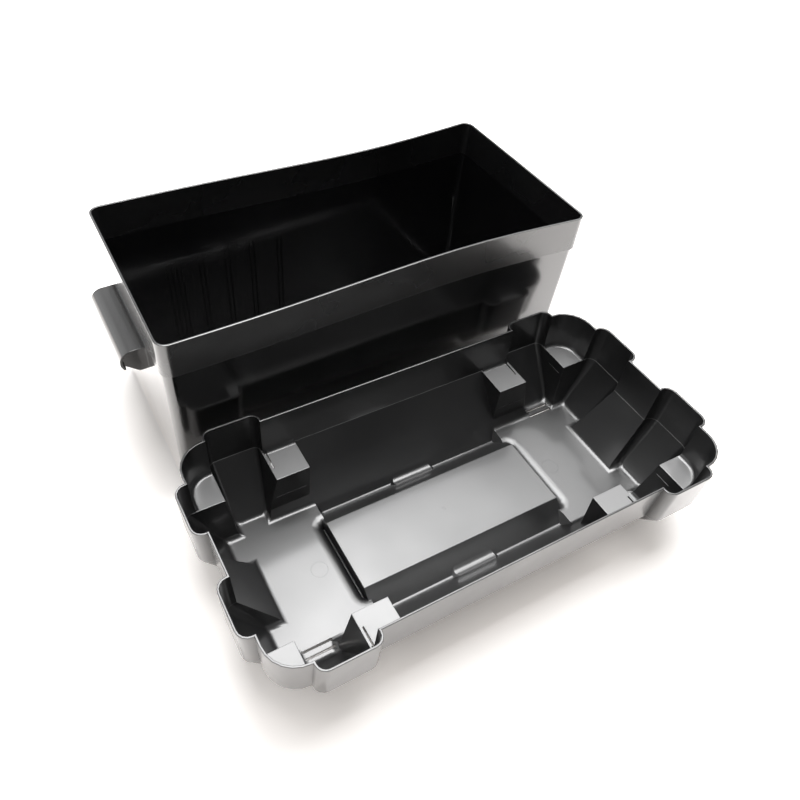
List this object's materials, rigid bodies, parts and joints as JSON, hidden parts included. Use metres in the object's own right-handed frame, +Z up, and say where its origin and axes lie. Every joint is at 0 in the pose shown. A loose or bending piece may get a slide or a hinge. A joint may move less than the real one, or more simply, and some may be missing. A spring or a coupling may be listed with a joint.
{
  "type": "battery box with lid",
  "caption": "Long open-top moulded plastic battery box with a stepped rim collar and hooded end grips, its deep lobed lid lying upside down in front of it.",
  "frame": {"origin": "centre of the underside of the box, which stands on the floor", "axes": "+X along the box's length, towards its plain right half; +Y from the lid towards the box; +Z up"},
  "size_m": [0.669, 0.6422, 0.29],
  "materials": {
    "box": "black injection-moulded polypropylene, semi-gloss",
    "lid": "black injection-moulded polypropylene, semi-gloss"
  },
  "bodies": {
    "box": {"box": "box"},
    "lid": {"lid": "lid"}
  },
  "joints": [
    {"name": "lid_lift", "type": "slide", "parent": "box", "child": "lid", "axis": [0, 0, 1], "range_m": [0, 0.3]}
  ]
}
